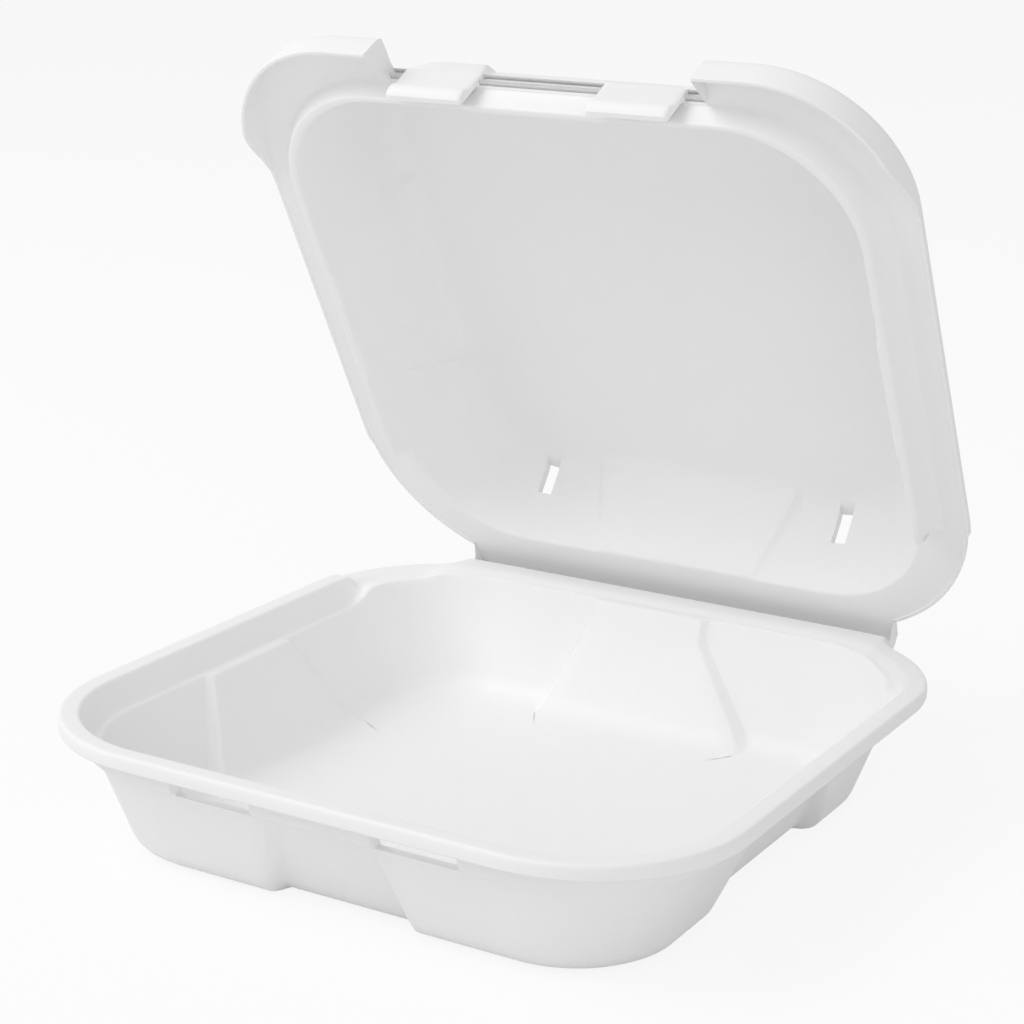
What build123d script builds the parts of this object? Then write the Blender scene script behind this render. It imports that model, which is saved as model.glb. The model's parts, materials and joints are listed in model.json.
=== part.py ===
"""Hinged takeaway container, thermoformed from one sheet of white foam.

Millimetres. Origin at the centre of the tray's flat underside, +Z up, +Y towards the hinge,
so the container opens towards -Y. The lid is drawn shut and then swung open about the hinge
line to its rest position.
"""

import os

from build123d import *

# Sheet
foam = 2.8  # thickness of the foam
draft_wall = 3.1  # the same sheet measured level through a sloping wall

# Tray
tray_height = 44.0
rim_half = 117.5  # half the width across the rim
rim_front = 114.8  # from the centre to the front of the rim
rim_back = 118.0
rim_front_radius = 52.0
rim_back_radius = 56.0
rim_drop = 5.0  # height of the rim's turned-down edge
rim_top_side = 7.0  # width of the flat top of the rim
rim_top_front = 6.3
rim_top_back = 9.5
foot_half = 91.5
foot_radius = 30.0
foot_fillet = 5.0
ledge_depth = 9.0  # ledge below the top of the rim
ledge_width = 3.7
ledge_width_ends = 0.4  # the ledge dies out along the front and the back
ledge_corner = 2.0  # how much tighter the collar's corners are at the ledge
collar_rise = 4.5  # how far the collar above the ledge leans outwards at the sides
collar_rise_ends = 4.3

# Panels set into the four walls, between the corner posts
panel_top_half = 22.0
panel_foot_half = 42.0
front_panel_top_half = 17.0
front_panel_foot_half = 25.0
panel_inset_top = 1.2
panel_inset_foot = 5.5
panel_reach = 15.0  # how far a panel's cutting block stands past the wall

# Lid, as it lies when shut
lid_half = 119.2
lid_front = 118.0
lid_back = 118.0
lid_front_radius = 45.0
lid_back_radius = 63.0
dome_height = 31.5  # inside, from the flange to the roof
roof_half = 89.5
roof_half_y = 87.0
roof_radius = 36.0
mouth_front = 99.4  # inside of the dome at the ridge
mouth_back = 104.6
mouth_radius = 42.0
plug_end = 70.0  # the ridge and its channel stop short of the back corners
lid_panel_roof_half = 42.0
lid_panel_mouth_half = 24.0
lid_panel_inset = 1.6
wing_drop = 7.6  # skirts at the front corners, below the flange
wing_half = 57.0  # from the centre to where each wing starts
wing_side = 80.0  # how far forward of the centre each wing ends
centre_front = 103.0  # the flange is cut back between the wings

# Fits between the lid and the tray
seat_gap = 0.5  # flange above the rim
ridge_gap = 1.5  # ridge above the ledge
plug_gap = 0.6  # ridge inside the collar
tab_gap = 0.65  # tab's nose inside the collar

# Locking tabs on the lid and their slots in the tray
tab_spacing = 70.0
tab_width = 27.0
tab_side_gap = 1.5
tab_thickness = 2.6
tab_nose_height = 4.5
tab_nose_depth = 1.8
slot_bottom = 31.5

# Vents through the back wall of the lid
vent_spacing = 120.0
vent_width = 5.0
vent_height = 13.0
vent_below_roof = 1.5

# Hinge
hinge_half = 85.0  # half the length of the hinge strip
hinge_height = 36.0
hinge_gap = 0.5
rest_angle = 61.0  # how far open the lid stands

# Heights and places worked out from the sizes above
ledge_z = tray_height - ledge_depth
rim_under_z = tray_height - foam
flange_z = tray_height + seat_gap
flange_top_z = flange_z + foam
ridge_z = ledge_z + ridge_gap
roof_z = flange_z + dome_height
hinge_y = rim_back + hinge_gap
hinge_edge_z = hinge_height + hinge_gap

tab_places = (-tab_spacing / 2, tab_spacing / 2)

# Level sections: half width, front, back, front corner radius, back corner radius
rim = (rim_half, rim_front, rim_back, rim_front_radius, rim_back_radius)
collar_radius = rim_front_radius - rim_top_side
collar_top = (
    rim_half - rim_top_side,
    rim_front - rim_top_front,
    rim_back - rim_top_back,
    collar_radius,
    collar_radius,
)
collar_foot = (
    collar_top[0] - collar_rise,
    collar_top[1] - collar_rise_ends,
    collar_top[2] - collar_rise_ends,
    collar_radius - ledge_corner,
    collar_radius - ledge_corner,
)
tub_radius = collar_radius - ledge_width
tub_top = (
    collar_foot[0] - ledge_width,
    collar_foot[1] - ledge_width_ends,
    collar_foot[2] - ledge_width_ends,
    tub_radius,
    tub_radius,
)
foot = (foot_half, foot_half, foot_half, foot_radius, foot_radius)
lid_rim = (lid_half, lid_front, lid_back, lid_front_radius, lid_back_radius)
mouth = (tub_top[0], mouth_front, mouth_back, mouth_radius, mouth_radius)
roof = (roof_half, roof_half_y, roof_half_y, roof_radius, roof_radius)


def rounded(section, grow=0.0):
    """Draws a level section in the current sketch, pushed out all round by grow."""
    half, front, back, front_radius, back_radius = section
    with Locations((0, (back - front) / 2)):
        Rectangle(2 * (half + grow), front + back + 2 * grow)
    fillet(vertices().group_by(Axis.Y)[0], front_radius + grow)
    fillet(vertices().group_by(Axis.Y)[-1], back_radius + grow)


def lofted(*levels):
    """A solid through level sections, each given as (height, section, grow)."""
    with BuildPart() as solid:
        for height, section, grow in levels:
            with BuildSketch(Plane.XY.offset(height)):
                rounded(section, grow)
        loft(ruled=True)
    return solid.part


def inset(section, depth):
    """A section pulled in all round by depth."""
    return tuple(size - depth for size in section)


def slab(section, bottom, top):
    """A level plate of one section between two heights."""
    with BuildPart() as plate:
        with BuildSketch(Plane.XY.offset(bottom)):
            rounded(section)
        extrude(amount=top - bottom)
    return plate.part


def block(x, y, z):
    """A plain box from its (low, high) limits along each axis."""
    low = Vector(x[0], y[0], z[0])
    with BuildPart(Plane(low)) as box:
        Box(x[1] - x[0], y[1] - y[0], z[1] - z[0], align=(Align.MIN, Align.MIN, Align.MIN))
    return box.part


def panel_block(out, low, high, low_half, high_half):
    """What lies outside a sloping panel of the wall that faces out.

    low and high are (distance from the centre, height) of the panel's two ends, and the
    halves are its half widths there. The block runs on past both ends.
    """
    direction = Vector(*out, 0)
    low_point = direction * low[0] + Vector(0, 0, low[1])
    rise = direction * high[0] + Vector(0, 0, high[1]) - low_point
    across = Vector(0, 0, 1).cross(direction)
    with BuildPart() as solid:
        with BuildSketch(Plane(low_point, x_dir=across, z_dir=across.cross(rise.normalized()))):
            with BuildLine():
                Polyline(
                    (-low_half, -panel_reach),
                    (low_half, -panel_reach),
                    (low_half, 0),
                    (high_half, rise.length),
                    (high_half, rise.length + panel_reach),
                    (-high_half, rise.length + panel_reach),
                    (-high_half, rise.length),
                    (-low_half, 0),
                    close=True,
                )
            make_face()
        extrude(amount=panel_reach)
    return solid.part


def tray_panels(depth):
    """The tray's four panel blocks, moved in and widened by depth."""
    blocks = []
    for out, top_distance in (
        ((1, 0), tub_top[0]),
        ((-1, 0), tub_top[0]),
        ((0, 1), tub_top[2]),
        ((0, -1), tub_top[1]),
    ):
        front = out == (0, -1)
        blocks.append(
            panel_block(
                out,
                (foot_half - panel_inset_foot - depth, 0),
                (top_distance + draft_wall - panel_inset_top - depth, ledge_z - foam),
                (front_panel_foot_half if front else panel_foot_half) + depth,
                (front_panel_top_half if front else panel_top_half) + depth,
            )
        )
    return blocks


def lid_panels(depth):
    """Panel blocks for the sides and the back of the lid's dome, moved in and widened by depth."""
    share = (flange_top_z - ridge_z) / (roof_z - ridge_z)
    blocks = []
    for out, mouth_distance, roof_distance in (
        ((1, 0), mouth[0], roof_half),
        ((-1, 0), mouth[0], roof_half),
        ((0, 1), mouth_back, roof_half_y),
    ):
        low_distance = mouth_distance + (roof_distance - mouth_distance) * share
        blocks.append(
            panel_block(
                out,
                (low_distance + draft_wall - lid_panel_inset - depth, flange_top_z),
                (roof_distance + draft_wall - lid_panel_inset - depth, roof_z),
                lid_panel_mouth_half + depth,
                lid_panel_roof_half + depth,
            )
        )
    return blocks


# Tray -----------------------------------------------------------------------------------
tub_outside = lofted((0, foot, 0), (ledge_z - foam, tub_top, draft_wall))
tub_inside = lofted((foam, foot, -draft_wall), (ledge_z, tub_top, 0))
collar_outside = lofted(
    (ledge_z - foam, collar_foot, draft_wall), (tray_height, collar_top, draft_wall)
)
collar_inside = lofted((ledge_z, collar_foot, 0), (tray_height, collar_top, 0))
rim_plate = slab(rim, rim_under_z, tray_height)
rim_skirt = slab(rim, tray_height - rim_drop, rim_under_z)
rim_hollow = slab(inset(rim, foam), tray_height - rim_drop, rim_under_z)

with BuildPart() as tub_cavity:
    add(tub_inside)
    for panel in tray_panels(draft_wall):
        add(panel, mode=Mode.SUBTRACT)
    add(collar_inside)

with BuildPart() as tray_tub:
    add(tub_outside)
    fillet(faces().sort_by(Axis.Z)[0].edges(), foot_fillet)
    for panel in tray_panels(0):
        add(panel, mode=Mode.SUBTRACT)

with BuildPart() as tray:
    # Rim with its edge turned down, and a straight strip for the hinge along the back
    add(rim_skirt)
    add(rim_hollow, mode=Mode.SUBTRACT)
    add(rim_plate)
    with Locations((0, rim_back, tray_height)):
        Box(2 * hinge_half, rim_top_back, foam, align=(Align.CENTER, Align.MAX, Align.MAX))
        Box(2 * hinge_half, foam, tray_height - hinge_edge_z, align=(Align.CENTER, Align.MAX, Align.MAX))
    # Tub with its corner posts, and the collar above the ledge
    add(collar_outside)
    add(tray_tub.part)
    add(tub_cavity.part, mode=Mode.SUBTRACT)
    # Slots that the lid's tabs snap into
    with Locations(*[(x, foam - rim_front, slot_bottom) for x in tab_places]):
        Box(
            tab_width + 2 * tab_side_gap,
            rim_top_front + collar_rise_ends + draft_wall,
            rim_under_z - slot_bottom,
            align=(Align.CENTER, Align.MIN, Align.MIN),
            mode=Mode.SUBTRACT,
        )
tray.part.label = "tray"

# Lid, drawn shut ------------------------------------------------------------------------
plug_lean = collar_rise / ledge_depth  # outward lean of the plug's slope for each unit of height
channel_grow = plug_lean * foam - plug_gap - draft_wall
plug_outside = lofted((ridge_z, collar_foot, -plug_gap), (flange_top_z, collar_top, plug_lean * foam - plug_gap))
channel_outside = lofted(
    (ridge_z + foam, collar_foot, channel_grow), (flange_top_z, collar_top, channel_grow)
)
dome_outside = lofted((ridge_z, mouth, draft_wall), (roof_z + foam, roof, draft_wall - foam * 0.3))
dome_inside = lofted((ridge_z, mouth, 0), (roof_z, roof, 0))
wing_skirt = slab(lid_rim, flange_z - wing_drop, flange_z)
wing_hollow = slab(inset(lid_rim, foam), flange_z - wing_drop, flange_z)
flange_plate = slab(lid_rim, flange_z, flange_top_z)
far = 2 * lid_half  # well past the container on every side
behind_plug = block((-far, far), (plug_end, far), (0, flange_z))
between_wings = block((-wing_half, wing_half), (-far, -centre_front), (0, far))
tab_front = collar_foot[1] + collar_rise_ends * (rim_under_z - ledge_z) / ledge_depth - tab_gap

with BuildPart() as wings:
    add(wing_skirt)
    add(wing_hollow, mode=Mode.SUBTRACT)
    add(block((-far, far), (-wing_side, far), (0, far)), mode=Mode.SUBTRACT)

with BuildPart() as channel:
    add(channel_outside)
    add(block((-far, far), (plug_end, far), (0, far)), mode=Mode.SUBTRACT)
    add(block((-wing_half, wing_half), (-far, 0), (0, far)), mode=Mode.SUBTRACT)

with BuildPart() as dome:
    add(dome_outside)
    for panel in lid_panels(0):
        add(panel, mode=Mode.SUBTRACT)
    add(behind_plug, mode=Mode.SUBTRACT)

with BuildPart() as dome_cavity:
    add(dome_inside)
    for panel in lid_panels(draft_wall):
        add(panel, mode=Mode.SUBTRACT)

with BuildPart() as shut_lid:
    # Plug that nests inside the tray's collar, with an open channel behind it
    add(plug_outside)
    add(behind_plug, mode=Mode.SUBTRACT)
    add(flange_plate)
    add(channel.part, mode=Mode.SUBTRACT)
    add(wings.part)
    add(between_wings, mode=Mode.SUBTRACT)
    add(dome.part)
    # Straight hinge strip along the back, turned down to the hinge line
    with Locations((0, hinge_y + foam, flange_top_z)):
        Box(2 * hinge_half, rim_top_back + foam, foam, align=(Align.CENTER, Align.MAX, Align.MAX))
        Box(2 * hinge_half, foam, flange_top_z - hinge_height, align=(Align.CENTER, Align.MAX, Align.MAX))
    add(dome_cavity.part, mode=Mode.SUBTRACT)
    # Locking tabs with turned-down noses
    for x in tab_places:
        with BuildSketch(Plane.YZ.offset(x)):
            with BuildLine():
                Polyline(
                    (-centre_front + 1, rim_under_z - tab_thickness),
                    (-centre_front + 1, rim_under_z),
                    (-tab_front, rim_under_z),
                    (-tab_front, rim_under_z - tab_nose_height),
                    (-tab_front + tab_nose_depth, rim_under_z - tab_nose_height),
                    (-tab_front + tab_nose_depth, rim_under_z - tab_thickness),
                    close=True,
                )
            make_face()
        extrude(amount=tab_width / 2, both=True)
    # Vents
    with Locations(*[(x, mouth_back, roof_z - vent_below_roof) for x in (-vent_spacing / 2, vent_spacing / 2)]):
        Box(
            vent_width,
            2 * (mouth_back - roof_half_y) + 2 * foam,
            vent_height,
            align=(Align.CENTER, Align.CENTER, Align.MAX),
            mode=Mode.SUBTRACT,
        )

hinge_line = Axis((0, hinge_y, hinge_height), (-1, 0, 0))
lid = shut_lid.part.rotate(hinge_line, rest_angle)
lid.label = "lid"

os.makedirs("parts", exist_ok=True)
export_step(tray.part, "parts/tray.step")
export_step(lid, "parts/lid.step")
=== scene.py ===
"""Foam clamshell container: the moulded tray, its lid, the latch tabs, the hinge skin and a plain stage."""
import json
import math

import bpy
import numpy as np
from bpy.props import FloatProperty, FloatVectorProperty, PointerProperty
from mathutils import Matrix, Vector


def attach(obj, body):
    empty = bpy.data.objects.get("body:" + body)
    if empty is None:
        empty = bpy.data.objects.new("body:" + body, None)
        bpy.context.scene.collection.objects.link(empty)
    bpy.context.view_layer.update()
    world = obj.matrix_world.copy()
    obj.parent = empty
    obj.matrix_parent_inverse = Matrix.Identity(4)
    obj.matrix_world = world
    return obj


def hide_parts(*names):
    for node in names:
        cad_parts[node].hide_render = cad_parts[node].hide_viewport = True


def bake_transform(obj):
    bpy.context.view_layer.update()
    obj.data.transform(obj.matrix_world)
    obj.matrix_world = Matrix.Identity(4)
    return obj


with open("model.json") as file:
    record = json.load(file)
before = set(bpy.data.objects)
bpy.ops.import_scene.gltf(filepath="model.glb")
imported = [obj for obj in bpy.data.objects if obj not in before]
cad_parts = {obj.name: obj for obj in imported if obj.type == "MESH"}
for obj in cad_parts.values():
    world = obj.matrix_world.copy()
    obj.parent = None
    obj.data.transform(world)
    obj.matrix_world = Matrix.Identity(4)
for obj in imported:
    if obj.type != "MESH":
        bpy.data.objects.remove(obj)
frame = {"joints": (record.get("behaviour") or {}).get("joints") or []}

bl_info = {
    "name": "Foam Clamshell",
    "version": (1, 0, 0),
    "blender": (4, 5, 0),
    "location": "3D View > Sidebar > Clamshell",
    "description": "Builds a moulded foam food box with a hinged lid",
    "category": "Add Mesh",
}

MM = 0.001
HINGE = next(joint for joint in frame["joints"] if joint["name"] == "lid_hinge")
HINGE_POINT = Vector(HINGE["pos_m"])
OPEN_ANGLE = -math.radians(HINGE["range_deg"][0])


# Sizes and colours that a user would change


def length(name, text, mm):
    return FloatProperty(name=name, description=text, default=mm * MM, unit="LENGTH", precision=4)


def outline(name, text, mm):
    return FloatVectorProperty(
        name=name,
        description=text + ": half width, front, back, front and back corner radius",
        default=tuple(value * MM for value in mm),
        size=5,
        unit="LENGTH",
        precision=4,
    )


def pair(name, text, mm):
    return FloatVectorProperty(
        name=name,
        description=text,
        default=tuple(value * MM for value in mm),
        size=2,
        unit="LENGTH",
        precision=4,
    )


def creases(name, text, mm):
    return FloatVectorProperty(
        name=name,
        description=text + ": low and high crease at the top of the wall, then at its foot",
        default=tuple(value * MM for value in mm),
        size=4,
        unit="LENGTH",
        precision=4,
    )


def triple(name, text, mm):
    return FloatVectorProperty(
        name=name,
        description=text,
        default=tuple(value * MM for value in mm),
        size=3,
        unit="LENGTH",
        precision=4,
    )


class TraySizes(bpy.types.PropertyGroup):
    foam: length("Foam", "Thickness of the moulded sheet", 2.8)
    height: length("Height", "Height of the rim", 44)
    rim: outline("Rim", "Outer edge of the lip", (117.5, 114.8, 118, 52, 56))
    rim_drop: length("Lip edge", "How far the lip turns down", 5)
    hinge_drop: length("Hinge edge", "How far the edge turns down at the hinge", 7.6)
    collar_top: outline("Collar top", "Inner edge of the lip", (110.5, 108.5, 108.5, 45, 45))
    collar_foot: outline("Collar foot", "Where the collar meets the ledge", (106.2, 104.6, 105, 43, 43))
    ledge: length("Ledge height", "Height of the ledge", 35)
    ledge_rear: length("Ledge at rear", "Height that the ledge rises to at the rear", 42.6)
    ledge_climb: pair("Ledge climb", "Where the ledge starts and ends its climb", (64, 80))
    tub_top: outline("Tub top", "Top of the tub's wall", (103.6, 103.6, 103.8, 41.3, 41.3))
    foot: outline("Foot", "Where the wall meets the floor", (91.5, 91.5, 91.5, 30, 30))
    floor_round: length("Floor rounding", "Rounding between wall and floor", 6)
    front_creases: creases("Front panel", "Creases of the front panel", (-17, 17, -25, 25))
    back_creases: creases("Back panel", "Creases of the back panel", (-22, 22, -36, 46))
    side_creases: creases("Side panels", "Creases of the side panels", (-23, 22, -38, 40))
    inset: pair("Panel inset", "How far a panel stands in at its top and foot", (2.2, 6))
    lip_end: length("Lip end", "Where the raised lip ends towards the rear", 72)
    corner_drop: length("Corner drop", "How much lower the rear corners lie", 1.3)
    hinge_half: length("Hinge half width", "Half the width of the hinge strip", 85)
    slot: triple("Slot", "Width, depth and height of a latch slot", (29.6, 12, 10.1))
    left_slot: triple("Left slot place", "Middle of the left latch slot", (-37, -104.5, 36.1))
    right_slot: triple("Right slot place", "Middle of the right latch slot", (35, -104.5, 36.1))


class LidSizes(bpy.types.PropertyGroup):
    foam: length("Foam", "Thickness of the moulded sheet", 2.8)
    flange: length("Flange height", "Underside of the flange when shut", 44.5)
    rim: outline("Rim", "Outer edge of the flange", (119.2, 118, 118, 45, 63))
    ridge: length("Ridge height", "Crest of the sealing ridge when shut", 36.5)
    ridge_top: outline("Ridge top", "Outer wall of the ridge at the flange", (109.8, 102.4, 107.9, 44, 44))
    ridge_foot: outline("Ridge foot", "Outer wall of the ridge's crest", (105.4, 101.3, 103.6, 42.4, 42.4))
    mouth: outline("Mouth", "Inner wall at the ridge's crest", (102.6, 99.4, 102.6, 42, 42))
    mouth_rear: outline("Rear mouth", "Inner wall at the flange behind the ridge", (100.5, 98, 101, 41, 41))
    roof: length("Roof height", "Underside of the roof when shut", 76)
    roof_edge: outline("Roof edge", "Where the wall meets the roof", (89.5, 87, 87, 36, 36))
    roof_round: length("Roof rounding", "Rounding between wall and roof", 7)
    ridge_end: pair("Ridge end", "Where the ridge starts and ends its fall at the rear", (60.5, 63.5))
    wing_drop: length("Wing depth", "How far the front corners turn down", 8.6)
    skirt: length("Edge thickness", "Thickness of the turned edge", 1.2)
    wing_half: length("Wing half gap", "Half the gap between the two front corners", 57)
    wing_left: pair("Left wing end", "Where the left turned edge runs out", (-84, -58))
    wing_right: pair("Right wing end", "Where the right turned edge runs out", (-92, -68))
    centre_front: length("Centre front", "Front edge between the corners", 103)
    hinge_drop: length("Hinge edge", "How far the edge turns down at the hinge", 8.3)
    hinge_half: length("Hinge half width", "Half the width of the hinge strip", 85)
    front_creases: creases("Front panel", "Creases of the front panel", (-40, 40, -24, 24))
    back_creases: creases("Back panel", "Creases of the back panel", (-40, 42, -27, 30))
    side_creases: creases("Side panels", "Creases of the side panels", (-42, 42, -24, 23))
    inset: pair("Panel inset", "How far a panel stands in at the roof and at the mouth", (3.0, 0.8))
    vent_half: length("Vent place", "Distance of each vent from the middle", 60)
    vent: triple("Vent", "Width, depth and length of a vent's cut when shut", (5.5, 20, 12.5))
    vent_place: pair("Vent height", "How far back, and how high, a vent's middle is when shut", (91, 68))


class TabSizes(bpy.types.PropertyGroup):
    left: pair("Left tab", "Left and right edge of the left tab", (-51, -23))
    right: pair("Right tab", "Left and right edge of the right tab", (21, 49))
    front: length("Front", "Front face of a tab", 106.6)
    thickness: length("Thickness", "Thickness of a tab", 2.6)
    tip: length("Tip", "Lower edge of a tab when shut", 32)


class FoamLook(bpy.types.PropertyGroup):
    colour: FloatVectorProperty(
        name="Foam colour", description="Colour of the white foam", subtype="COLOR",
        default=(0.93, 0.93, 0.932), size=3, min=0, max=1,
    )
    shade: FloatVectorProperty(
        name="Bead shade", description="Colour between the foam's beads", subtype="COLOR",
        default=(0.885, 0.885, 0.89), size=3, min=0, max=1,
    )
    bead: length("Bead size", "Size of the foam's surface cells", 0.9)


class StageSizes(bpy.types.PropertyGroup):
    camera: FloatVectorProperty(
        name="Camera place", description="Where the camera stands", subtype="TRANSLATION",
        default=(0.3747, -0.6330, 0.3112), size=3, unit="LENGTH",
    )
    azimuth: FloatProperty(name="Camera azimuth", description="Direction that it stands in",
                           default=math.radians(30.5), subtype="ANGLE")
    elevation: FloatProperty(name="Camera elevation", description="Tilt above the horizon",
                             default=math.radians(15.8), subtype="ANGLE")
    roll: FloatProperty(name="Camera roll", description="Turn about its own line of sight",
                        default=math.radians(0.9), subtype="ANGLE")
    lens: FloatProperty(name="Lens", description="Focal length in millimetres", default=84.5)
    floor_colour: FloatVectorProperty(
        name="Floor colour", description="Colour of the floor", subtype="COLOR",
        default=(0.9, 0.9, 0.9), size=3, min=0, max=1,
    )


# Cross-sections of the moulding, and the shells lofted through them


def grow(section, by):
    return tuple(value + by for value in section)


def station(section, height, inset=0.0, lip=0.0, edge=0.0):
    """One level of a moulding in millimetres: outline, height, panel inset, and share in the lip and edge."""
    return np.array([*section, height, inset, lip, edge], float)


def profile(corners):
    """Levels along a run of corners, each (station, rounding, steps to the next)."""
    turns = []
    for i, (here, rounding, _) in enumerate(corners):
        if i in (0, len(corners) - 1) or rounding == 0:
            turns.append([here])
            continue
        ends = []
        for other in (corners[i - 1][0], corners[i + 1][0]):
            run = math.hypot(np.abs(other[:3] - here[:3]).max(), other[5] - here[5])
            ends.append(here + (other - here) * min(rounding / max(run, 1e-6), 0.48))
        turns.append(
            [(1 - t) ** 2 * ends[0] + 2 * t * (1 - t) * here + t * t * ends[1] for t in np.linspace(0, 1, 6)]
        )
    levels = []
    for i, turn in enumerate(turns):
        levels += turn
        if i + 1 < len(turns):
            steps = corners[i][2]
            levels += [turn[-1] + (turns[i + 1][0] - turn[-1]) * k / steps for k in range(1, steps)]
    return np.array(levels)


def ease(value, low, high):
    t = np.clip((value - low) / (high - low), 0, 1)
    return t * t * (3 - 2 * t)


def spaced(start, end, knots, counts):
    """Places from start to end, with counts between the knots, which stay in order inside the straight."""
    n, room = len(knots), abs(end - start)
    way = 1 if end > start else -1
    step = min(0.4, room / (2 * n + 2))
    along = [
        np.clip((knot - start) * way, step * (i + 1), room - step * (n - i)) for i, knot in enumerate(knots)
    ]
    along = np.maximum.accumulate([0, *along, room])
    places = [np.linspace(a, b, k, endpoint=False) for a, b, k in zip(along, along[1:], counts)]
    return start + way * np.concatenate(places)


ARC_FRONT = np.linspace(0, 90, 26, endpoint=False)
ARC_REAR = np.concatenate([
    np.linspace(0, 8, 3, endpoint=False), np.linspace(8, 17, 14, endpoint=False),
    np.linspace(17, 56, 10, endpoint=False), np.linspace(56, 70, 20, endpoint=False),
    np.linspace(70, 90, 6, endpoint=False),
])
SOFT = 1.6  # half the width of a panel's crease
NOTCH = 57.0  # columns stand close together here, where the lid's front corners begin


def ring(level, walls, notch=NOTCH):
    """The points of one level, counter-clockwise from the front left, with each wall's panel stood in."""
    half, front, back, front_radius, back_radius, height, inset = level[:7]
    share = np.clip((height - walls["foot"]) / (walls["top"] - walls["foot"]), 0, 1)

    def edges(name):
        top_low, top_high, foot_low, foot_high = walls[name]
        return foot_low + (top_low - foot_low) * share, foot_high + (top_high - foot_high) * share

    def panel(places, name):
        low, high = edges(name)
        return inset * ease(places, low - SOFT, low + SOFT) * (1 - ease(places, high - SOFT, high + SOFT))

    def arc(x, y, radius, start, angles):
        a = np.radians(start + angles)
        return np.column_stack([x + radius * np.cos(a), y + radius * np.sin(a)])

    def side(start, end, name, extra=()):
        low, high = edges(name)
        knots = [low - SOFT, low + SOFT, high - SOFT, high + SOFT]
        counts = [8, 6, 12, 6, 8]
        if extra:
            knots = [-extra[1], -extra[0], *knots, extra[0], extra[1]]
            counts = [3, 3, 6, 6, 10, 6, 6, 3, 3]
        if end < start:
            return -spaced(-start, -end, sorted(-k for k in knots), counts)
        return spaced(start, end, knots, counts)

    x = side(-(half - front_radius), half - front_radius, "front", (notch - 0.6, notch + 0.6))
    points = [np.column_stack([x, -front + panel(x, "front")])]
    points.append(arc(half - front_radius, -front + front_radius, front_radius, -90, ARC_FRONT))
    y = side(-front + front_radius, back - back_radius, "side")
    points.append(np.column_stack([half - panel(y, "side"), y]))
    points.append(arc(half - back_radius, back - back_radius, back_radius, 0, ARC_REAR))
    x = side(half - back_radius, -(half - back_radius), "back")
    points.append(np.column_stack([x, back - panel(x, "back")]))
    points.append(arc(-half + back_radius, back - back_radius, back_radius, 90, 90 - ARC_REAR[::-1]))
    y = side(back - back_radius, -front + front_radius, "side")
    points.append(np.column_stack([-half + panel(y, "side"), y]))
    points.append(arc(-half + front_radius, -front + front_radius, front_radius, 180, ARC_FRONT))
    flat = np.concatenate(points)
    return np.column_stack([flat, np.full(len(flat), height)])


def rings(levels, walls, steps=5):
    """The rings of a cross-section, which inside a floor or roof are smaller copies of its plain edge."""
    loft = np.array([ring(level, walls) for level in levels])
    shares = np.linspace(0.12, 1, steps + 1)[:-1, None, None]
    for middle, edge in ((loft[:steps], levels[steps]), (loft[::-1][:steps], levels[-steps - 1])):
        bare = edge.copy()
        bare[6] = 0
        middle[:, :, :2] = ring(bare, walls)[:, :2] * shares
    return loft


def closed_shell(name, loft):
    """A closed mesh through the rings, capped at both ends, with its faces outwards."""
    count, columns = loft.shape[:2]
    points = [tuple(p) for p in loft.reshape(-1, 3) * MM]
    a = np.arange(count - 1)[:, None] * columns + np.arange(columns)[None, :]
    b = np.arange(count - 1)[:, None] * columns + (np.arange(columns)[None, :] + 1) % columns
    quads = np.stack([a, b, b + columns, a + columns], -1).reshape(-1, 4)
    faces = [tuple(int(i) for i in quad) for quad in quads]
    faces.append(tuple(range(columns))[::-1])
    faces.append(tuple(range((count - 1) * columns, count * columns)))
    flat = loft.reshape(-1, 3)
    volume = 0.0
    for face in faces:
        p = flat[list(face)]
        volume += np.einsum("ij,ij->", np.tile(p[0], (len(p) - 2, 1)), np.cross(p[1:-1], p[2:]))
    if volume < 0:
        faces = [face[::-1] for face in faces]
    mesh = bpy.data.meshes.new(name)
    mesh.from_pydata(points, [], faces)
    mesh.validate()
    return mesh


def link(name, mesh):
    piece = bpy.data.objects.new(name.replace(" ", "_"), mesh)
    bpy.context.scene.collection.objects.link(piece)
    return piece


def plain_mesh(piece):
    """Bakes a piece's modifiers into a plain mesh and removes them."""
    bpy.context.view_layer.update()
    depsgraph = bpy.context.evaluated_depsgraph_get()
    mesh = bpy.data.meshes.new_from_object(piece.evaluated_get(depsgraph))
    piece.modifiers.clear()
    piece.data = mesh


def smooth(mesh, angle=38):
    mesh.shade_smooth()
    mesh.set_sharp_from_angle(angle=math.radians(angle))


def cut(piece, tool):
    """Takes the tool's shape out of a piece."""
    modifier = piece.modifiers.new("cut", "BOOLEAN")
    modifier.operation, modifier.solver, modifier.object = "DIFFERENCE", "EXACT", tool
    plain_mesh(piece)
    bpy.data.objects.remove(tool)


# Geometry Nodes: a pair of blocks, for the punches that cut slots and vents


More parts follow.
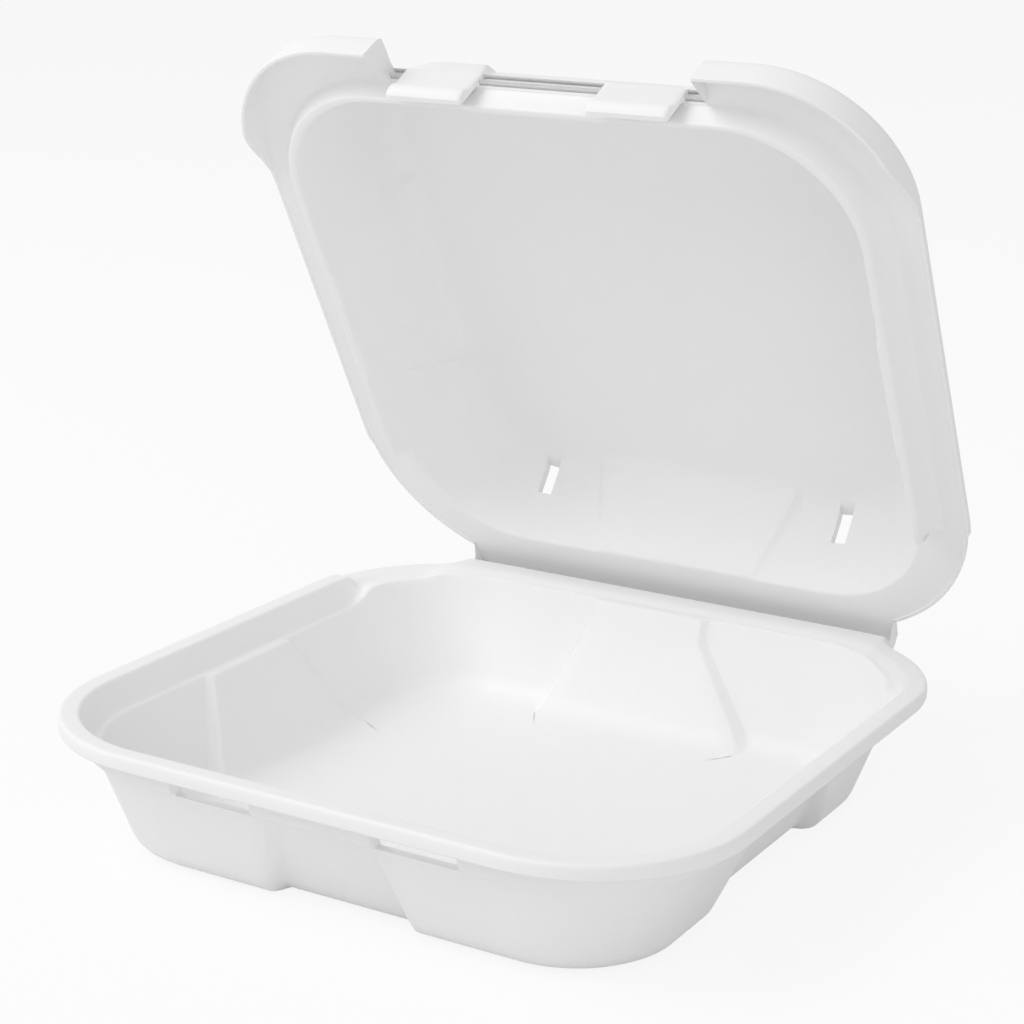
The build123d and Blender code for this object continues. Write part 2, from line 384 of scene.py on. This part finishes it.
def paired_blocks():
    """A tree that puts one block at each of two given places."""
    tree = bpy.data.node_groups.new("paired blocks", "GeometryNodeTree")
    tree.interface.new_socket("Geometry", in_out="OUTPUT", socket_type="NodeSocketGeometry")
    kinds = {"Size": "NodeSocketVector", "Left": "NodeSocketVector", "Right": "NodeSocketVector",
             "Material": "NodeSocketMaterial"}
    for name, kind in kinds.items():
        tree.interface.new_socket(name, in_out="INPUT", socket_type=kind)
    nodes = Nodes(tree)
    given = tree.nodes.new("NodeGroupInput")
    block = nodes.add("GeometryNodeMeshCube", {"Size": given.outputs["Size"]}, out="Mesh")
    ends = nodes.add("GeometryNodeMeshLine", {"Start Location": given.outputs["Left"],
                                              "Offset": given.outputs["Right"], "Count": 2},
                     mode="END_POINTS", out="Mesh")
    placed = nodes.add("GeometryNodeInstanceOnPoints", {"Points": ends, "Instance": block}, out="Instances")
    real = nodes.add("GeometryNodeRealizeInstances", {"Geometry": placed}, out="Geometry")
    painted = nodes.add("GeometryNodeSetMaterial", {"Geometry": real, "Material": given.outputs["Material"]},
                        out="Geometry")
    out = tree.nodes.new("NodeGroupOutput")
    tree.links.new(painted.socket, out.inputs["Geometry"])
    return tree


def make_pair(name, size, left, right):
    piece = link(name, bpy.data.meshes.new(name))
    modifier = piece.modifiers.new("blocks", "NODES")
    tree = bpy.data.node_groups.get("paired blocks") or paired_blocks()
    modifier.node_group = tree
    keys = {item.name: item.identifier for item in tree.interface.items_tree if item.in_out == "INPUT"}
    modifier[keys["Size"]], modifier[keys["Left"]], modifier[keys["Right"]] = size, left, right
    modifier[keys["Material"]] = foam_material()
    plain_mesh(piece)
    return piece


# Node trees written as expressions


class Value:
    """A node's output socket that adds Math nodes when it is used in an expression."""

    def __init__(self, tree, socket):
        self.tree, self.socket = tree, socket

    def math(self, operation, other=None):
        node = self.tree.nodes.new("ShaderNodeMath")
        node.operation = operation
        for slot, value in zip(node.inputs, (self, other)):
            if isinstance(value, Value):
                self.tree.links.new(value.socket, slot)
            elif value is not None:
                slot.default_value = value
        return Value(self.tree, node.outputs[0])

    def __add__(self, other):
        return self.math("ADD", other)

    def __sub__(self, other):
        return self.math("SUBTRACT", other)

    def __mul__(self, other):
        return self.math("MULTIPLY", other)

    __radd__, __rmul__ = __add__, __mul__


class Nodes:
    """Adds nodes to one tree, each with its settings first and then its sockets."""

    def __init__(self, tree):
        self.tree = tree

    def add(self, kind, sockets=None, out=None, **settings):
        node = self.tree.nodes.new(kind)
        for key, value in settings.items():
            setattr(node, key, value)
        for key, value in (sockets or {}).items():
            socket = node.inputs[key]
            if isinstance(value, Value):
                value = value.socket
            if isinstance(value, bpy.types.NodeSocket):
                self.tree.links.new(value, socket)
            else:
                socket.default_value = value
        return Value(self.tree, node.outputs[out] if out is not None else node.outputs[0])


def mix_colour(nodes, share, one, two):
    return nodes.add("ShaderNodeMix", {0: share, 6: one, 7: two}, out=2, data_type="RGBA")


def foam_material():
    """White moulded foam: a satin skin over fine beads, slightly mottled."""
    made = bpy.data.materials.get("moulded foam")
    if made:
        return made
    look = bpy.context.scene.clam_look
    made = bpy.data.materials.new("moulded foam")
    made.use_nodes = True
    tree = made.node_tree
    tree.nodes.clear()
    nodes = Nodes(tree)
    place = nodes.add("ShaderNodeTexCoord", out="Object")
    beads = nodes.add("ShaderNodeTexVoronoi", {"Vector": place, "Scale": 1 / look.bead, "Randomness": 1.0},
                      out="Distance", feature="SMOOTH_F1")
    fine = nodes.add("ShaderNodeTexNoise", {"Vector": place, "Scale": 1400.0, "Detail": 3.0}, out=0)
    cloud = nodes.add("ShaderNodeTexNoise", {"Vector": place, "Scale": 38.0, "Detail": 3.0,
                                                     "Roughness": 0.55}, out=0)
    broad = nodes.add("ShaderNodeTexNoise", {"Vector": place, "Scale": 9.0, "Detail": 2.0}, out=0)
    mottle = nodes.add("ShaderNodeMapRange", {0: beads * 0.45 + cloud * 0.35 + fine * 0.2, 1: 0.25, 2: 0.75,
                                              3: 0.0, 4: 1.0})
    colour = mix_colour(nodes, mottle * 0.5, (*look.colour, 1), (*look.shade, 1))
    rough = cloud * 0.14 + fine * 0.06 + 0.46
    height = beads * -0.5 + fine * 0.35 + cloud * 1.2 + broad * 2.0
    bump = nodes.add("ShaderNodeBump", {"Height": height, "Strength": 0.35, "Distance": 0.00012})
    skin = nodes.add("ShaderNodeBsdfPrincipled", {
        "Base Color": colour, "Roughness": rough, "Normal": bump, "IOR": 1.45, "Specular IOR Level": 0.35,
    })
    out = tree.nodes.new("ShaderNodeOutputMaterial")
    tree.links.new(skin.socket, out.inputs["Surface"])
    return made


def dress(piece):
    piece.data.materials.clear()
    piece.data.materials.append(foam_material())
    for face in piece.data.polygons:
        face.material_index = 0


def in_mm(group, *names):
    """The named sizes of a group, in millimetres."""
    values = []
    for name in names:
        value = getattr(group, name)
        values.append(tuple(v / MM for v in value) if hasattr(value, "__len__") else value / MM)
    return values


# Tray


def tray_levels(sizes, ledge):
    """The tray's cross-section, from the middle of its underside round the lip to the middle of its floor."""
    foam, height, drop = in_mm(sizes, "foam", "height", "rim_drop")
    rim, collar_top, collar_foot, tub_top, foot = in_mm(
        sizes, "rim", "collar_top", "collar_foot", "tub_top", "foot")
    inset_top, inset_foot = in_mm(sizes, "inset")[0]
    rounding = in_mm(sizes, "floor_round")[0]
    under = height - foam
    centre = tuple(value * 0.12 for value in foot)
    wall = foam + 0.3
    below = ledge - foam
    collar_under = tuple(f + (t - f) * 0.7 + wall for f, t in zip(collar_foot, collar_top))
    tub_under = tuple(t + wall - 0.9 for t in tub_top)
    return profile([
        (station(centre, 0), 0, 5),
        (station(grow(foot, 2.1), 0, inset_foot), rounding, 12),
        (station(tub_under, below, inset_top), 1.6, 2),
        (station(grow(collar_foot, wall), below), 1.2, 3),
        (station(collar_under, under), 0.8, 2),
        (station(grow(rim, -foam), under, 0, 1), 1.0, 2),
        (station(grow(rim, -foam), height - drop, 0, 1, 1), 0.7, 1),
        (station(rim, height - drop, 0, 1, 1), 0.8, 2),
        (station(rim, height, 0, 1), 1.9, 3),
        (station(collar_top, height), 1.3, 3),
        (station(collar_foot, ledge), 0.8, 2),
        (station(tub_top, ledge, inset_top), 1.0, 14),
        (station(foot, foam, inset_foot), rounding, 5),
        (station(centre, foam), 0, 1),
    ])


def tray_rings(sizes):
    ledge, ledge_rear, lip_end, corner_drop, hinge_half, hinge_drop, rim_drop = in_mm(
        sizes, "ledge", "ledge_rear", "lip_end", "corner_drop", "hinge_half", "hinge_drop", "rim_drop")
    climb = in_mm(sizes, "ledge_climb")[0]
    front, back, side = in_mm(sizes, "front_creases", "back_creases", "side_creases")
    walls = {"front": front, "back": back, "side": side, "top": ledge, "foot": 3}
    low, high = tray_levels(sizes, ledge), tray_levels(sizes, ledge_rear)
    loft, rear = rings(low, walls), rings(high, walls)
    rise = ease(loft[..., 1:2], *climb)
    loft = loft + (rear - loft) * rise
    x, y, z = loft[..., 0], loft[..., 1], loft[..., 2]
    lip, edge = low[:, 7][:, None], low[:, 8][:, None]
    strip = (1 - ease(np.abs(x), hinge_half - 0.5, hinge_half + 0.5)) * (y > 0) * lip
    corner = ease(y, lip_end - 0.8, lip_end + 0.8) * (1 - ease(-np.abs(x), -hinge_half - 7, -hinge_half))
    z -= corner_drop * corner * ease(z, 40.0, 42.5)
    y += (low[:, 2][:, None] - y) * strip
    z -= (hinge_drop - rim_drop) * strip * edge
    return loft


class CLAM_OT_tray(bpy.types.Operator):
    """Lofts the tray: floor, panelled walls, ledge, collar and turned lip"""
    bl_idname = "clam.tray"
    bl_label = "Moulded tray"

    def execute(self, context):
        sizes = context.scene.clam_tray
        tray = link("moulded tray", closed_shell("moulded tray", tray_rings(sizes)))
        cut(tray, make_pair("slot punch", sizes.slot, sizes.left_slot, sizes.right_slot))
        dress(tray)
        smooth(tray.data)
        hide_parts("tray")
        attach(tray, "tray")
        return {"FINISHED"}


# Lid


def lid_levels(sizes, behind):
    """The lid's cross-section when shut, from inside the roof round the edge to the middle of its top.
    Behind the ridge's end the wall runs straight out into the flange."""
    foam, flange, ridge, roof, rounding = in_mm(sizes, "foam", "flange", "ridge", "roof", "roof_round")
    rim, ridge_top, ridge_foot, mouth, mouth_rear, roof_edge = in_mm(
        sizes, "rim", "ridge_top", "ridge_foot", "mouth", "mouth_rear", "roof_edge")
    inset_roof, inset_mouth = in_mm(sizes, "inset")[0]
    centre = tuple(value * 0.12 for value in roof_edge)
    top = flange + foam
    skirt = in_mm(sizes, "skirt")[0]
    groove_outer = (104.8, 100.6, 106.6, 42, 42)
    groove_inner = (103.9, 100.0, 105.6, 42, 42)
    groove_lip = (107.8, 101.2, 107.2, 43.5, 43.5)
    groove = 41.2
    if behind:
        rim = grow(rim, -1.0)
        mouth, ridge, groove = mouth_rear, flange, top
        ridge_foot, ridge_top = grow(mouth_rear, 3.2), grow(mouth_rear, 6)
        groove_inner, groove_outer = grow(mouth_rear, 2.4), grow(mouth_rear, 4.2)
        groove_lip = grow(mouth_rear, 6.2)
    return profile([
        (station(centre, roof), 0, 5),
        (station(roof_edge, roof, inset_roof), rounding, 14),
        (station(mouth, ridge, inset_mouth), 0.9, 2),
        (station(ridge_foot, ridge), 0.9, 3),
        (station(ridge_top, flange), 1.4, 3),
        (station(grow(rim, -skirt), flange, 0, 1), 1.0, 2),
        (station(grow(rim, -skirt), flange - 0.3, 0, 1, 1), 0.1, 1),
        (station(rim, flange - 0.3, 0, 1, 1), 0.1, 2),
        (station(rim, top, 0, 1), 1.8, 4),
        (station(groove_lip, top), 1.2, 2),
        (station(groove_outer, groove), 0.4, 1),
        (station(groove_inner, groove), 0.4, 14),
        (station(grow(roof_edge, 2.7), roof + foam, inset_roof), rounding + 1, 5),
        (station(centre, roof + foam), 0, 1),
    ])


def lid_rings(sizes):
    roof, flange, ridge, wing_drop, wing_half, centre_front, hinge_drop, hinge_half = in_mm(
        sizes, "roof", "flange", "ridge", "wing_drop", "wing_half", "centre_front", "hinge_drop",
        "hinge_half")
    left, right, end = in_mm(sizes, "wing_left", "wing_right", "ridge_end")
    front, back, side = in_mm(sizes, "front_creases", "back_creases", "side_creases")
    walls = {"front": front, "back": back, "side": side, "top": roof, "foot": ridge}
    levels, levels_behind = lid_levels(sizes, False), lid_levels(sizes, True)
    loft, behind = rings(levels, walls), rings(levels_behind, walls)
    share = ease(loft[..., 1:2], *end)
    loft = loft + (behind - loft) * share
    x, y, z = loft[..., 0], loft[..., 1], loft[..., 2]
    lip, edge = levels[:, 7][:, None], levels[:, 8][:, None]
    strip = (1 - ease(np.abs(x), hinge_half - 0.5, hinge_half + 0.5)) * (y > 0) * lip
    y += (levels[:, 2][:, None] + HINGE_POINT.y / MM - 115.2 - y) * strip
    notch = (1 - ease(np.abs(x), wing_half - 0.6, wing_half + 0.6)) * (y < -80) * lip
    wing = np.where(x < 0, 1 - ease(y, *left), 1 - ease(y, *right))
    z -= edge * ((hinge_drop - 0.3) * strip + (wing_drop - 0.3) * wing * (1 - notch / np.maximum(lip, 1e-6)))
    y += (-centre_front + 0.1 * (118 - levels[:, 1][:, None]) - y) * notch
    return loft


def opened(mesh):
    """Turns a mesh made shut to the lid's place at rest."""
    turn = Matrix.Rotation(OPEN_ANGLE, 4, Vector(HINGE["axis"]))
    mesh.transform(Matrix.Translation(HINGE_POINT) @ turn @ Matrix.Translation(-HINGE_POINT))


class CLAM_OT_lid(bpy.types.Operator):
    """Lofts the lid: domed roof, sealing ridge, flange, front corners and vents"""
    bl_idname = "clam.lid"
    bl_label = "Moulded lid"

    def execute(self, context):
        sizes = context.scene.clam_lid
        lid = link("moulded lid", closed_shell("moulded lid", lid_rings(sizes)))
        left, right = ((x, *sizes.vent_place) for x in (-sizes.vent_half, sizes.vent_half))
        cut(lid, make_pair("vent punch", sizes.vent, left, right))
        opened(lid.data)
        dress(lid)
        smooth(lid.data)
        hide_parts("lid")
        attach(lid, "lid")
        return {"FINISHED"}


# Latch tabs


def tab_shell(name, left, right, front, thickness, tip, top):
    """One tab when shut: a bar along the flange's edge with a nose that springs into the tray's slot."""
    inner = front - thickness
    shape = [
        (inner - 1.6, top), (front - 0.9, top), (front - 0.25, top - 0.3), (front, top - 1.0),
        (front - 0.2, tip + 7.0), (front + 1.1, tip + 4.2), (front + 1.2, tip + 3.0),
        (front + 0.4, tip + 0.9),
        (front - 0.5, tip + 0.1), (inner + 0.5, tip), (inner, tip + 0.6), (inner, top - 4.6),
        (inner - 1.6, top - 3.0),
    ]
    soft = 2.2
    stations = []
    for x, pull in ((left, soft), (left + 0.35, 0.9), (left + 1.2, 0.25), (left + 2.4, 0), (right - 2.4, 0),
                    (right - 1.2, 0.25), (right - 0.35, 0.9), (right, soft)):
        middle_y, middle_z = inner + thickness / 2, (tip + top) / 2
        row = []
        for y, z in shape:
            lower = max(0.0, min(1.0, (top - z) / (top - tip)))
            row.append((x, -(y + (middle_y - y) * pull * 0.2), z + (middle_z - z) * pull * 0.03 * lower))
        stations.append(row)
    loft = np.array(stations)
    return closed_shell(name, loft)


class CLAM_OT_tabs(bpy.types.Operator):
    """Adds the two latch tabs on the lid's front edge"""
    bl_idname = "clam.tabs"
    bl_label = "Latch tabs"

    def execute(self, context):
        tabs, lid = context.scene.clam_tabs, context.scene.clam_lid
        front, thickness, tip = in_mm(tabs, "front", "thickness", "tip")
        top = in_mm(lid, "flange")[0] + in_mm(lid, "foam")[0]
        for name, (left, right) in (("left latch tab", in_mm(tabs, "left")[0]),
                                    ("right latch tab", in_mm(tabs, "right")[0])):
            piece = link(name, tab_shell(name, left, right, front, thickness, tip, top))
            opened(piece.data)
            dress(piece)
            smooth(piece.data)
            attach(piece, "lid")
        return {"FINISHED"}


# Hinge


class CLAM_OT_hinge_skin(bpy.types.Operator):
    """Adds the thin pressed skin that joins tray and lid, shaped round the hinge at the lid's open angle"""
    bl_idname = "clam.hinge_skin"
    bl_label = "Hinge skin"

    def execute(self, context):
        tray, lid = context.scene.clam_tray, context.scene.clam_lid
        half = in_mm(tray, "hinge_half")[0] - 1.0
        hy, hz = HINGE_POINT.y / MM, HINGE_POINT.z / MM
        a = OPEN_ANGLE
        along = Vector((math.cos(math.pi / 2 - a), math.sin(math.pi / 2 - a)))
        away = Vector((math.sin(math.pi / 2 - a), -math.cos(math.pi / 2 - a)))
        start, end = Vector((hy - 0.1, hz + 5.0)), Vector((hy, hz)) + along * 5.0
        mid = Vector((hy, hz))
        steps = 12
        line, outs = [], []
        for i in range(steps + 1):
            t = i / steps
            p = (1 - t) ** 2 * start + 2 * t * (1 - t) * (mid + Vector((0.2, -1.0))) + t * t * end
            line.append(p)
        for i, p in enumerate(line):
            tangent = (line[min(i + 1, steps)] - line[max(i - 1, 0)]).normalized()
            outs.append(p + Vector((-tangent.y, tangent.x)) * -0.35)
        section = [(*p,) for p in line] + [(*p,) for p in outs[::-1]]
        xs = np.linspace(-half, half, 25)
        loft = np.array([[(x, y, z) for y, z in section] for x in xs])
        skin = link("hinge skin", closed_shell("hinge skin", loft))
        dress(skin)
        smooth(skin.data)
        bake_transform(skin)
        return {"FINISHED"}


# Stage


FLOOR_REACH = 60.0
LAMP_AIM = (0, 0, 0.08)
LAMP_SIZE = 1.4
LAMPS = (("key", (-1.1, -0.9, 1.5), 18), ("fill", (1.3, -1.2, 0.9), 5))


def seen_directly(tree):
    """1 where the camera, a reflection or a clear piece looks at the surface, and 0 where light bounces."""
    ray = tree.nodes.new("ShaderNodeLightPath")
    camera, glossy, clear = (
        Value(tree, ray.outputs[name]) for name in ("Is Camera Ray", "Is Glossy Ray", "Is Transmission Ray"))
    return camera.math("MAXIMUM", glossy).math("MAXIMUM", clear)


class CLAM_OT_stage(bpy.types.Operator):
    """Adds the floor, the soft lights, the white surround and the camera"""
    bl_idname = "clam.stage"
    bl_label = "Stage"

    def execute(self, context):
        stage = context.scene.clam_stage
        scene = context.scene
        floor = link("floor", bpy.data.meshes.new("floor"))
        r = FLOOR_REACH
        floor.data.from_pydata([(-r, -r, -0.0002), (r, -r, -0.0002), (r, r, -0.0002), (-r, r, -0.0002)], [],
                               [(0, 1, 2, 3)])
        paint = bpy.data.materials.new("pale floor")
        paint.use_nodes = True
        tree = paint.node_tree
        tree.nodes.clear()
        nodes = Nodes(tree)
        matt = nodes.add("ShaderNodeBsdfDiffuse", {"Color": (*stage.floor_colour, 1)})
        glow = nodes.add("ShaderNodeEmission", {"Color": (1, 1, 1, 1), "Strength": 1.0})
        seen = seen_directly(tree)
        mixed = nodes.add("ShaderNodeMixShader", {0: seen * 0.86, 1: matt, 2: glow})
        out = tree.nodes.new("ShaderNodeOutputMaterial")
        tree.links.new(mixed.socket, out.inputs["Surface"])
        floor.data.materials.append(paint)

        world = bpy.data.worlds.new("white surround")
        scene.world = world
        world.use_nodes = True
        tree = world.node_tree
        tree.nodes.clear()
        nodes = Nodes(tree)
        seen = seen_directly(tree)
        strength = seen * 0.45 + 0.55
        sky = nodes.add("ShaderNodeBackground", {"Color": (1, 1, 1, 1), "Strength": strength})
        out = tree.nodes.new("ShaderNodeOutputWorld")
        tree.links.new(sky.socket, out.inputs["Surface"])

        for name, place, power in LAMPS:
            self.lamp(name, place, power)

        camera = bpy.data.objects.new("camera", bpy.data.cameras.new("camera"))
        scene.collection.objects.link(camera)
        camera.data.lens, camera.data.sensor_width = stage.lens, 36
        camera.data.clip_start, camera.data.clip_end = 0.01, 200
        a, e = stage.azimuth, stage.elevation
        back = Vector((math.sin(a) * math.cos(e), -math.cos(a) * math.cos(e), math.sin(e)))
        right = Vector((math.cos(a), math.sin(a), 0))
        up = back.cross(right)
        c, s = math.cos(stage.roll), math.sin(stage.roll)
        right, up = right * c + up * s, up * c - right * s
        turn = Matrix((right, up, back)).transposed().to_4x4()
        camera.matrix_world = Matrix.Translation(stage.camera) @ turn
        scene.camera = camera
        scene.view_settings.view_transform = "Standard"
        return {"FINISHED"}

    def lamp(self, name, place, power):
        data = bpy.data.lights.new(name, "AREA")
        data.size, data.energy = LAMP_SIZE, power
        lamp = bpy.data.objects.new(name, data)
        bpy.context.scene.collection.objects.link(lamp)
        lamp.location = place
        lamp.rotation_euler = (Vector(place) - Vector(LAMP_AIM)).to_track_quat("Z", "Y").to_euler()


class CLAM_PT_panel(bpy.types.Panel):
    """Lists the sizes and the steps that build the box"""
    bl_idname = "CLAM_PT_panel"
    bl_label = "Foam Clamshell"
    bl_space_type = "VIEW_3D"
    bl_region_type = "UI"
    bl_category = "Clamshell"

    def draw(self, context):
        for title, group, steps in LISTED:
            box = self.layout.box()
            box.label(text=title)
            for step in steps:
                box.operator(step)
            settings = getattr(context.scene, group)
            for name in settings.bl_rna.properties.keys():
                if name not in ("rna_type", "name"):
                    box.prop(settings, name)


LISTED = (
    ("Tray", "clam_tray", ("clam.tray",)),
    ("Lid", "clam_lid", ("clam.lid",)),
    ("Tabs and hinge", "clam_tabs", ("clam.tabs", "clam.hinge_skin")),
    ("Foam", "clam_look", ()),
    ("Stage", "clam_stage", ("clam.stage",)),
)
GROUPS = {"clam_tray": TraySizes, "clam_lid": LidSizes, "clam_tabs": TabSizes, "clam_look": FoamLook,
          "clam_stage": StageSizes}
CLASSES = (*GROUPS.values(), CLAM_OT_tray, CLAM_OT_lid, CLAM_OT_tabs, CLAM_OT_hinge_skin, CLAM_OT_stage,
           CLAM_PT_panel)


def register():
    for made in CLASSES:
        bpy.utils.register_class(made)
    for name, group in GROUPS.items():
        setattr(bpy.types.Scene, name, PointerProperty(type=group))


def unregister():
    for name in GROUPS:
        delattr(bpy.types.Scene, name)
    for made in reversed(CLASSES):
        bpy.utils.unregister_class(made)


def main():
    register()
    bpy.context.view_layer.update()
    bpy.ops.clam.tray()
    bpy.ops.clam.lid()
    bpy.ops.clam.tabs()
    bpy.ops.clam.hinge_skin()
    bpy.ops.clam.stage()
    bpy.context.view_layer.update()


if __name__ == "__main__":
    main()
